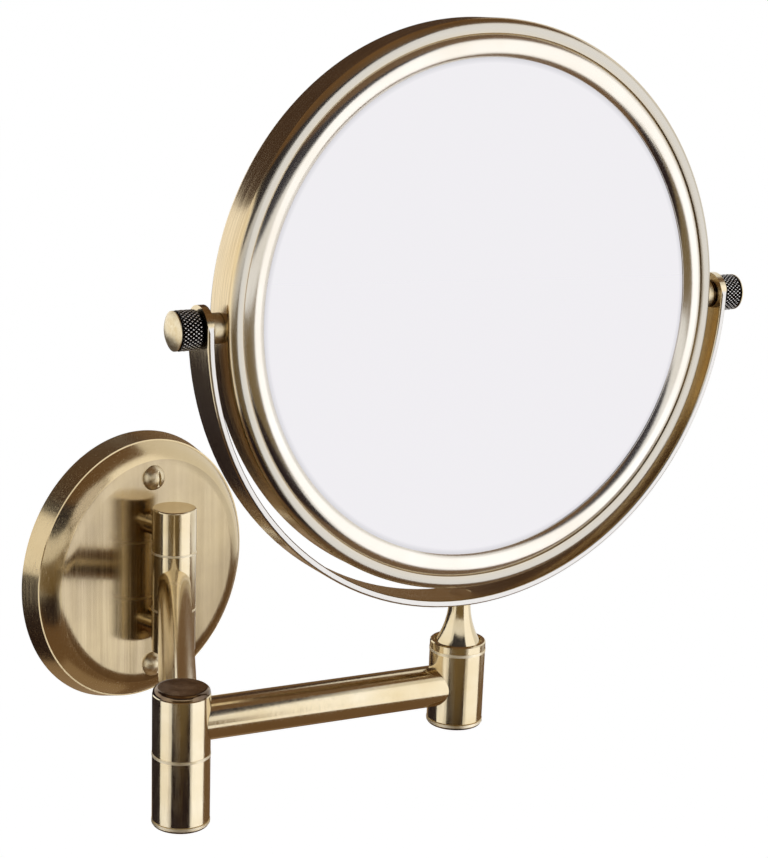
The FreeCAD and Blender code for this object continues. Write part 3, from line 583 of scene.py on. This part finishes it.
# %% Brushed frame
frame_depths = [abs((vertex.co - head_centre).dot(glass_normal)) for vertex in nodes["frame_ring"].data.vertices]
WORN_STRIP = 0.0012
EDGE_END = max(frame_depths)
EDGE_START = EDGE_END - WORN_STRIP
print("the frame's edges stand", round(EDGE_END, 5), "from its middle")
rim = Finish("frame_brass", GOLD_BRASS, 0.26)
rim_lines = rim.ring_lines(width=0.0004, slowness=5.0)
rim_tarnish = rim.noise(rim.stretched((0.05, 0.05, 0.05)), detail=4.0)
rim_tone = rim.blend(rim_tarnish, GOLD_BRASS, BRIGHT_BRASS, start=0.3, stop=0.8)
rim_streaks = rim.blend(rim_lines, (0.78, 0.76, 0.74), (1, 1, 1), start=0.35, stop=0.6)
_, _, rim_depth = rim.head_coordinates()
near_edge = rim.spread(rim.size_of(rim_depth), low=0.0, high=1.0, start=EDGE_START, stop=EDGE_END)
rim.colour(rim.mix("RGBA", near_edge, rim.multiply(rim_tone, rim_streaks, share=1.0), (*WORN_BRASS, 1)))
rim.roughness(rim.spread(rim_lines, low=0.16, high=0.26))
rim.relief(rim_lines, depth=0.000006, strength=0.5)
rim.brushed_along(rim.round_axis(head_centre, glass_normal), amount=0.6)
print("brushed finishes:", sorted(FINISHES))

# %% [markdown]
# ## Small brass: caps, washers and screws
# The caps at the ends of the barrels are lacquered, and painted a deep brown: painted shade for the dark room they
# reflect. The washers between the barrels stay bright, and the wall screws are satin, with faint marks from the
# driver.

# %% Caps, washers and screws
# painted shade: the caps are the same brass, and this deep brown stands in for the dark surroundings they reflect
caps = Finish("dark_brass", (0.2, 0.14, 0.09), 0.14)
cap_cloud = caps.noise(caps.stretched((0.006, 0.006, 0.006)), detail=4.0)
caps.colour(caps.blend(cap_cloud, (0.13, 0.09, 0.06), (0.3, 0.21, 0.12)))
caps.roughness(caps.spread(cap_cloud, low=0.1, high=0.2))

washers = Finish("washer_brass", (0.92, 0.82, 0.6), 0.3)
washer_cloud = washers.noise(washers.stretched((0.004, 0.004, 0.002)), detail=3.0)
washers.colour(washers.blend(washer_cloud, (0.8, 0.68, 0.45), (0.96, 0.88, 0.7)))
washers.roughness(washers.spread(washer_cloud, low=0.4, high=0.5))

screws = Finish("satin_brass", BRIGHT_BRASS, 0.26)
screw_marks = screws.noise(screws.stretched((0.0012, 0.0012, 0.0012)), detail=4.0)
screws.colour(screws.blend(screw_marks, WARM_BRASS, (0.78, 0.68, 0.48)))
screws.roughness(screws.spread(screw_marks, low=0.32, high=0.44))
screws.relief(screw_marks, depth=0.00002, strength=0.3)
print("small brass:", sorted(FINISHES))

# %% [markdown]
# ## Hidden pieces
# Pins, nuts and the pieces between the glasses are seldom seen, but a part in a library is taken apart,
# so they have finishes too: zinc-plated steel and a moulded core.

# %% Steel and core
steel = Finish("steel", (0.62, 0.62, 0.63), 0.3)
steel_marks = steel.noise(steel.stretched((0.0008, 0.0008, 0.0008)), detail=3.0)
steel.colour(steel.blend(steel_marks, (0.5, 0.5, 0.52), (0.7, 0.7, 0.69)))
steel.roughness(steel.spread(steel_marks, low=0.24, high=0.42))

core = Finish("core_board", (0.06, 0.06, 0.063), 0.6, metallic=0.0)
core_grain = core.noise(core.stretched((0.001, 0.001, 0.001)), detail=3.0)
core.colour(core.blend(core_grain, (0.045, 0.045, 0.048), (0.08, 0.08, 0.082)))
core.relief(core_grain, depth=0.00003, strength=0.4)
print("hidden finishes:", sorted(FINISHES))

# %% [markdown]
# ## The looking-glass
# A mirror is a perfectly sharp reflection with the faint cool tint of its glass. A thin darker line is painted round
# its edge as painted shade for the bezel's lip reflected in the glass, drawn by the distance from the head's centre.

# %% Silvered glass
SIGHT_RADIUS, LIP_SHADE_WIDTH = 0.076, 0.0004
SILVER, PAINTED_LIP_SHADE = (0.875, 0.86, 0.89), (0.42, 0.42, 0.46)
glass = Finish("mirror_glass", SILVER, 0.0)
glass_x, glass_y, _ = glass.head_coordinates()
glass_radius = glass.length(glass.spoke(glass_x, glass_y))
# painted shade: the glass darkens in a thin ring at its edge, standing in for the bezel's lip reflected in it
glass.colour(glass.blend(glass_radius, SILVER, PAINTED_LIP_SHADE, start=SIGHT_RADIUS - LIP_SHADE_WIDTH, stop=SIGHT_RADIUS))
print("silvered glass with an edge line at", SIGHT_RADIUS)

# %% [markdown]
# ## The knurled grips
# Knurling presses two sets of crossing grooves into a turned knob, and small diamond points are left standing.
# A bump map would leave the outline smooth, so the points are modelled: a ring is extruded into a net of squares,
# every square is poked, the old edges are dissolved so that the net becomes diamonds, and each diamond is
# inset outwards, so that it rises to a small flat top. One grip is modelled along Z and copied for the other side.

# %% Sizes of a grip
GRIP_RADIUS = 0.0059
KNURL_DEPTH = 0.0004
KNURL_TOP = 0.0003
KNURLS_ROUND = 30
KNURL_ROWS = 4
GRIP_CHAMFER = 0.0004
STUD_HOLE = 0.00253
STUD_DEPTH = 0.006
LEVEL_SHARE = 0.1  # points nearer than this share of a row lie on one level
along_pivot = [(vertex.co - head_centre).dot(pivot_axis) for vertex in nodes["right_knob_grip"].data.vertices]
GRIP_START = min(along_pivot)
GRIP_LENGTH = max(along_pivot) - GRIP_START
root_radius = GRIP_RADIUS - KNURL_DEPTH
row_height = (GRIP_LENGTH - 2 * GRIP_CHAMFER) / KNURL_ROWS
print("the solid grip runs from", round(GRIP_START, 5), "for", round(GRIP_LENGTH, 5))

# %% Extrude a net of squares
bpy.ops.object.select_all(action="DESELECT")
bpy.ops.mesh.primitive_circle_add(vertices=KNURLS_ROUND, radius=root_radius, location=(0, 0, 0))
right_grip = bpy.context.object
right_grip.name = "right_knurled_grip"
bpy.ops.object.mode_set(mode="EDIT")
bpy.ops.mesh.select_all(action="SELECT")
bpy.ops.transform.translate(value=(0, 0, GRIP_CHAMFER))
for row in range(KNURL_ROWS):
    bpy.ops.mesh.extrude_region_move(TRANSFORM_OT_translate={"value": (0, 0, row_height)})
bpy.ops.mesh.select_all(action="SELECT")
bpy.ops.mesh.normals_make_consistent(inside=False)
print("net of", len(bmesh.from_edit_mesh(right_grip.data).faces), "squares")

# %% Turn the squares into diamond points
bpy.ops.mesh.select_mode(type="FACE")
bpy.ops.mesh.select_all(action="SELECT")
bpy.ops.mesh.poke(offset=0)
bpy.ops.mesh.select_mode(type="EDGE")
bpy.ops.mesh.select_all(action="DESELECT")
net = bmesh.from_edit_mesh(right_grip.data)
for edge in net.edges:
    rise = abs(edge.verts[0].co.z - edge.verts[1].co.z)
    across = (edge.verts[0].co - edge.verts[1].co).to_2d().length
    square_side = min(rise, across) < row_height * LEVEL_SHARE
    edge.select = square_side and not edge.is_boundary
bmesh.update_edit_mesh(right_grip.data)
bpy.ops.mesh.dissolve_edges(use_verts=False)
bpy.ops.mesh.select_mode(type="FACE")
bpy.ops.mesh.select_all(action="SELECT")
bpy.ops.mesh.inset(thickness=KNURL_TOP, depth=KNURL_DEPTH, use_boundary=True, use_individual=True)
print("knurled into", len(bmesh.from_edit_mesh(right_grip.data).faces), "faces")


# %% Close the two ends
def select_open_ring(piece, level):
    """Select the open edges of a piece at one height."""
    bpy.ops.mesh.select_mode(type="EDGE")
    bpy.ops.mesh.select_all(action="DESELECT")
    net = bmesh.from_edit_mesh(piece.data)
    for edge in net.edges:
        middle = (edge.verts[0].co.z + edge.verts[1].co.z) / 2
        edge.select = edge.is_boundary and abs(middle - level) < row_height * LEVEL_SHARE
    bmesh.update_edit_mesh(piece.data)


def extrude_ring(shift, from_radius, to_radius):
    """Extrude the selected ring along Z, and bring it to another radius."""
    bpy.ops.mesh.extrude_region_move(TRANSFORM_OT_translate={"value": (0, 0, shift)})
    share = to_radius / from_radius
    bpy.ops.transform.resize(value=(share, share, 1), center_override=(0, 0, 0))


end_radius = root_radius - GRIP_CHAMFER
select_open_ring(right_grip, GRIP_CHAMFER)
extrude_ring(-GRIP_CHAMFER, root_radius, end_radius)
extrude_ring(0, end_radius, STUD_HOLE)
extrude_ring(STUD_DEPTH, STUD_HOLE, STUD_HOLE)
bpy.ops.mesh.edge_face_add()
select_open_ring(right_grip, GRIP_LENGTH - GRIP_CHAMFER)
extrude_ring(GRIP_CHAMFER, root_radius, end_radius)
bpy.ops.mesh.edge_face_add()
bpy.ops.mesh.select_all(action="SELECT")
bpy.ops.mesh.normals_make_consistent(inside=False)
bpy.ops.object.mode_set(mode="OBJECT")
print("grip closed with", len(right_grip.data.polygons), "faces")


# %% Place both grips
def select_only(piece):
    bpy.ops.object.select_all(action="DESELECT")
    piece.select_set(True)
    bpy.context.view_layer.objects.active = piece


def second_copy(piece, name):
    """A copy of a piece with a mesh of its own."""
    copy = piece.copy()
    copy.data = piece.data.copy()
    copy.name = name
    bpy.context.scene.collection.objects.link(copy)
    return copy


left_grip = second_copy(right_grip, "left_knurled_grip")
for grip, outward, body, node in (
    (right_grip, pivot_axis, "right_knob", "right_knob_grip"),
    (left_grip, -pivot_axis, "left_knob", "left_knob_grip"),
):
    turn = outward.to_track_quat("Z", "Y").to_matrix().to_4x4()
    grip.matrix_world = Matrix.Translation(head_centre + outward * GRIP_START) @ turn
    select_only(grip)
    bpy.ops.object.transform_apply(location=True, rotation=True, scale=True)
    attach(grip, body)
    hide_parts(node)
print("grips placed at", GRIP_START, "on each side of the head")

# %% [markdown]
# ## Blackened knurling
# The grips are blackened, and handling rubs the tops of the diamonds bright again. The distance from the pivot
# axis tells a top from a groove, so the finish is dark in the grooves and metal on the points.

# %% Knurled finish
knurled = Finish("knurled_brass", (0.03, 0.028, 0.03), 0.3)
_, knurl_y, knurl_z = knurled.head_coordinates()
from_pivot = knurled.length(knurled.spoke(knurl_y, knurl_z))
knurl_top = knurled.spread(from_pivot, low=0.0, high=1.0, start=GRIP_RADIUS - KNURL_DEPTH / 2, stop=GRIP_RADIUS)
knurled.colour(knurled.blend(knurl_top, (0.02, 0.019, 0.021), (0.95, 0.94, 0.92), start=0.3, stop=0.9))
knurled.roughness(knurled.spread(knurl_top, low=0.25, high=0.6, start=0.0, stop=1.0))
print("knurled finish added")

# %% [markdown]
# ## The turned rings of the head
# The frame and its two bezels are turned rings. Their solids arrive as flat triangles, and on polished metal each
# triangle would show as a step in the reflection. So the rings are turned again here as on a lathe:
# a circle's points are laid out as the ring's section, and the section is spun round the head's axis.
# One bar through the frame then drills the two holes for the pivot bosses.
# The sizes are those of the solids, which the rings replace. Only the frame's radius is a hundredth of a millimetre
# less, because a flat triangle cuts a little inside the true circle and the dressed mirror may not grow.

# %% Sections of the rings
RING_STEPS = 240
MERGE_DISTANCE = 0.000002
SMOOTH_ANGLE = math.radians(25)
CORNER_STEPS, BEAD_STEPS, CROWN_STEPS = 10, 6, 10
FRAME_RADIUS = 0.08729
FRAME_WALL_HALF, FRAME_CORNER = 0.005, 0.0025
FRAME_BEAD_RADIUS, FRAME_BEAD_END = 0.00555, 108.92
BEZEL_OUTER, BEZEL_CREST_RADIUS, BEZEL_CREST = 0.08297, 0.07947, 0.0082
BEZEL_OUTER_CROWN, BEZEL_OUTER_START = 0.004453, 38.19
BEZEL_INNER_CROWN, BEZEL_INNER_END = 0.004563, 139.5
BEZEL_SKIRT, GLASS_FRONT, GLASS_BACK = 0.0799, 0.00625, 0.00325
BOSS_HOLE_RADIUS, BOSS_HOLE_SIDES = 0.00353, 48


def section_arc(middle, radius, first, last, steps):
    """Points of an arc, as distances from the axis and depths."""
    angles = [math.radians(first + (last - first) * step / steps) for step in range(steps + 1)]
    return [(middle[0] + radius * math.cos(angle), middle[1] + radius * math.sin(angle)) for angle in angles]


corner_middle = FRAME_RADIUS - FRAME_CORNER
bead_middle = FRAME_WALL_HALF + FRAME_CORNER - FRAME_BEAD_RADIUS
front_half = section_arc((corner_middle, FRAME_WALL_HALF), FRAME_CORNER, 0, 90, CORNER_STEPS)
front_half += section_arc((corner_middle, bead_middle), FRAME_BEAD_RADIUS, 90, FRAME_BEAD_END, BEAD_STEPS)[1:]
frame_section = front_half + [(radius, -depth) for radius, depth in reversed(front_half)]
bezel_section = [(BEZEL_SKIRT, GLASS_BACK), (BEZEL_OUTER, GLASS_BACK)]
bezel_section += section_arc((BEZEL_CREST_RADIUS, BEZEL_CREST - BEZEL_OUTER_CROWN), BEZEL_OUTER_CROWN,
                             BEZEL_OUTER_START, 90, CROWN_STEPS)
bezel_section += section_arc((BEZEL_CREST_RADIUS, BEZEL_CREST - BEZEL_INNER_CROWN), BEZEL_INNER_CROWN,
                             90, BEZEL_INNER_END, CROWN_STEPS)[1:]
bezel_section += [(SIGHT_RADIUS, GLASS_FRONT), (BEZEL_SKIRT, GLASS_FRONT)]
print("sections of", len(frame_section), "and", len(bezel_section), "points")


# %% How a ring is turned
def turned_ring(name, section):
    """Lay a circle's points out as a section, and spin it round Z.

    A last turn by half a step keeps the ring's edges off the middles of the holes that are drilled into it.
    """
    bpy.ops.object.select_all(action="DESELECT")
    bpy.ops.mesh.primitive_circle_add(vertices=len(section), radius=FRAME_CORNER, location=(0, 0, 0))
    ring = bpy.context.object
    ring.name = name
    bpy.ops.object.mode_set(mode="EDIT")
    loop = bmesh.from_edit_mesh(ring.data)
    for corner, (radius, depth) in zip(loop.verts, section):
        corner.co = (radius, 0, depth)
    bmesh.update_edit_mesh(ring.data)
    bpy.ops.mesh.select_all(action="SELECT")
    bpy.ops.mesh.spin(steps=RING_STEPS, angle=math.tau, center=(0, 0, 0), axis=(0, 0, 1))
    bpy.ops.mesh.select_all(action="SELECT")
    bpy.ops.mesh.remove_doubles(threshold=MERGE_DISTANCE)
    bpy.ops.mesh.normals_make_consistent(inside=False)
    bpy.ops.object.mode_set(mode="OBJECT")
    ring.rotation_euler.z = math.pi / RING_STEPS
    bpy.ops.object.transform_apply(location=False, rotation=True, scale=False)
    return ring


def join_or_cut(body, operation, sides, radius, length, middle=(0, 0, 0), turn=(0, 0, 0)):
    """Add a round bar to a body, or cut one out of it."""
    bpy.ops.object.select_all(action="DESELECT")
    bpy.ops.mesh.primitive_cylinder_add(vertices=sides, radius=radius, depth=length, location=middle, rotation=turn)
    bar = bpy.context.object
    bpy.context.view_layer.objects.active = body
    step = body.modifiers.new("bar", "BOOLEAN")
    step.operation = operation
    step.object = bar
    bpy.ops.object.modifier_apply(modifier=step.name)
    bpy.data.objects.remove(bar)


def set_in_place(piece, place, body, node):
    """Smooth a spun piece, set it in its place and let it stand for its solid."""
    select_only(piece)
    bpy.ops.object.shade_smooth_by_angle(angle=SMOOTH_ANGLE)
    piece.matrix_world = place
    bpy.ops.object.transform_apply(location=True, rotation=True, scale=True)
    piece.data.materials.append(nodes[node].data.materials[0])
    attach(piece, body)
    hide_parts(node)
    print(piece.name, "has", len(piece.data.polygons), "faces")


def on_the_head(forward_axis):
    """The place of a ring that was spun round Z, with its front turned to an axis of the head."""
    turn = Matrix((pivot_axis, forward_axis.cross(pivot_axis), forward_axis)).transposed().to_4x4()
    return Matrix.Translation(head_centre) @ turn


print("rings are spun in", RING_STEPS, "steps")

# %% Frame and bezels
frame_hoop = turned_ring("turned_frame", frame_section)
join_or_cut(frame_hoop, "DIFFERENCE", BOSS_HOLE_SIDES, BOSS_HOLE_RADIUS, FRAME_RADIUS * 3, turn=(0, QUARTER_TURN, 0))
set_in_place(frame_hoop, on_the_head(glass_normal), "mirror_head", "frame_ring")
front_bead = turned_ring("turned_front_bezel", bezel_section)
rear_bead = second_copy(front_bead, "turned_rear_bezel")
set_in_place(front_bead, on_the_head(glass_normal), "mirror_head", "front_bezel")
set_in_place(rear_bead, on_the_head(-glass_normal), "mirror_head", "rear_bezel")

# %% [markdown]
# ## The turned rosette
# The rosette is turned from one disc: a tapered rim, a small ledge, a long soft shoulder, and a flat face with a
# rounded edge. Flat triangles would break that soft shoulder into bands, so it is spun like the rings. Polishing has
# worn the face's edge rounder than the solid has it, by about 0.5 mm, so that the face runs softly into the shoulder.
# Two pillars behind the face hold the wall screws, and the holes for screws and stubs are drilled last.
# A narrow extra ring on the face, just inside its rounded edge, keeps the face itself flat when it is smoothed.

# %% Section of the rosette
ROSETTE_RADIUS, ROSETTE_WALL, ROSETTE_DEPTH = 0.0565, 0.003, 0.0137
RIM_RADIUS, RIM_DEPTH = 0.0543, 0.0076
FACE_RADIUS, FACE_RING, BACK_RADIUS = 0.04297, 0.0426, 0.046
SHOULDER_MIDDLE, SHOULDER_RADIUS, SHOULDER_STEPS = (0.03223, -0.008775), 0.027, 10
SHOULDER_START, SHOULDER_END = 37.33, 44.29
EDGE_ROUND, EDGE_ROUND_STEPS = 0.012, 14
edge_middle = (FACE_RADIUS, ROSETTE_DEPTH - EDGE_ROUND)
face_back = ROSETTE_DEPTH - ROSETTE_WALL
rosette_section = [(ROSETTE_RADIUS - ROSETTE_WALL, 0), (ROSETTE_RADIUS, 0), (RIM_RADIUS, RIM_DEPTH)]
rosette_section += section_arc(SHOULDER_MIDDLE, SHOULDER_RADIUS, SHOULDER_START, SHOULDER_END, SHOULDER_STEPS)
rosette_section += section_arc(edge_middle, EDGE_ROUND, SHOULDER_END, 90, EDGE_ROUND_STEPS)[1:]
rosette_section += [(FACE_RING, ROSETTE_DEPTH), (0, ROSETTE_DEPTH), (0, face_back), (BACK_RADIUS, face_back),
                    (RIM_RADIUS - ROSETTE_WALL, RIM_DEPTH - ROSETTE_WALL)]
print("rosette section of", len(rosette_section), "points")

# %% Turn and drill the rosette
BAR_SIDES, DRILL_LENGTH = 64, ROSETTE_DEPTH * 3
PILLAR_RADIUS, PILLAR_START, PILLAR_END = 0.0065, 0.0006, 0.0122
SCREW_LEVEL, SCREW_HOLE_RADIUS, STUB_HOLE_RADIUS = 0.04, 0.0027, 0.00353
lowest_of_stub, highest_of_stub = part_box("upper_stub")
STUB_LEVEL = (lowest_of_stub[2] + highest_of_stub[2]) / 2
rosette_disc = turned_ring("turned_rosette", rosette_section)
for level in (SCREW_LEVEL, -SCREW_LEVEL):
    join_or_cut(rosette_disc, "UNION", BAR_SIDES, PILLAR_RADIUS, PILLAR_END - PILLAR_START,
                middle=(0, level, (PILLAR_START + PILLAR_END) / 2))
for level, radius in ((SCREW_LEVEL, SCREW_HOLE_RADIUS), (STUB_LEVEL, STUB_HOLE_RADIUS),
                      (-SCREW_LEVEL, SCREW_HOLE_RADIUS), (-STUB_LEVEL, STUB_HOLE_RADIUS)):
    join_or_cut(rosette_disc, "DIFFERENCE", BAR_SIDES, radius, DRILL_LENGTH, middle=(0, level, ROSETTE_DEPTH / 2))
set_in_place(rosette_disc, Matrix.Rotation(QUARTER_TURN, 4, "X"), "wall_mount", "rosette")
print("stubs and their holes", round(STUB_LEVEL, 5), "from the rosette's middle")

# %% [markdown]
# ## Put the finishes on
# Every solid came in with a plain material named after its slot in the record, so that name picks its finish.
# The spun pieces took over that material from the solids they replace, and the grips get theirs by name.

# %% Dress the solids
for solid in [*nodes.values(), frame_hoop, front_bead, rear_bead, rosette_disc]:
    solid.data.materials[0] = FINISHES[solid.data.materials[0].name]
for grip in (right_grip, left_grip):
    grip.data.materials.clear()
    grip.data.materials.append(FINISHES["knurled_brass"])
print("dressed", len(nodes), "solids in", len(FINISHES), "finishes")

# %% [markdown]
# ## The last update
# The view layer is updated once more.

# %% Update the view layer
bpy.context.view_layer.update()
